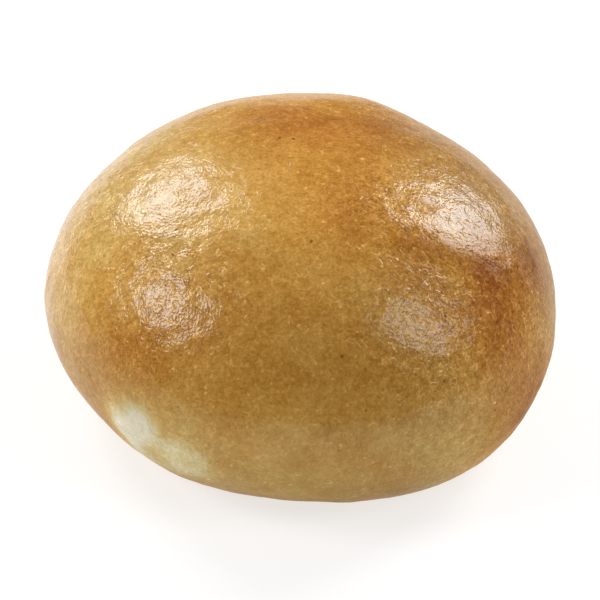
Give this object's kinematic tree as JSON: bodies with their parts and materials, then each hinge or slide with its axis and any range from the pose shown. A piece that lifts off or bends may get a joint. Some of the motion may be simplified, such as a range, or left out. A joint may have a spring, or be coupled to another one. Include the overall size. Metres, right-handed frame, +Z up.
{
  "type": "wheat bun",
  "caption": "Round, slightly uneven baked bun with a glazed golden crust, a paler belly and a flat base.",
  "frame": {"origin": "in the plane of the flat base, under the middle of the bun's outline", "axes": "+Z up through the crown, +X towards the bun's right cheek as shown, -Y towards the side that faces the viewer"},
  "size_m": [0.0994, 0.0936, 0.054],
  "materials": {
    "crust": "glazed golden-brown bread crust, finely wrinkled, paler towards the base"
  },
  "bodies": {
    "root": {"bun": "crust"}
  },
  "joints": []
}
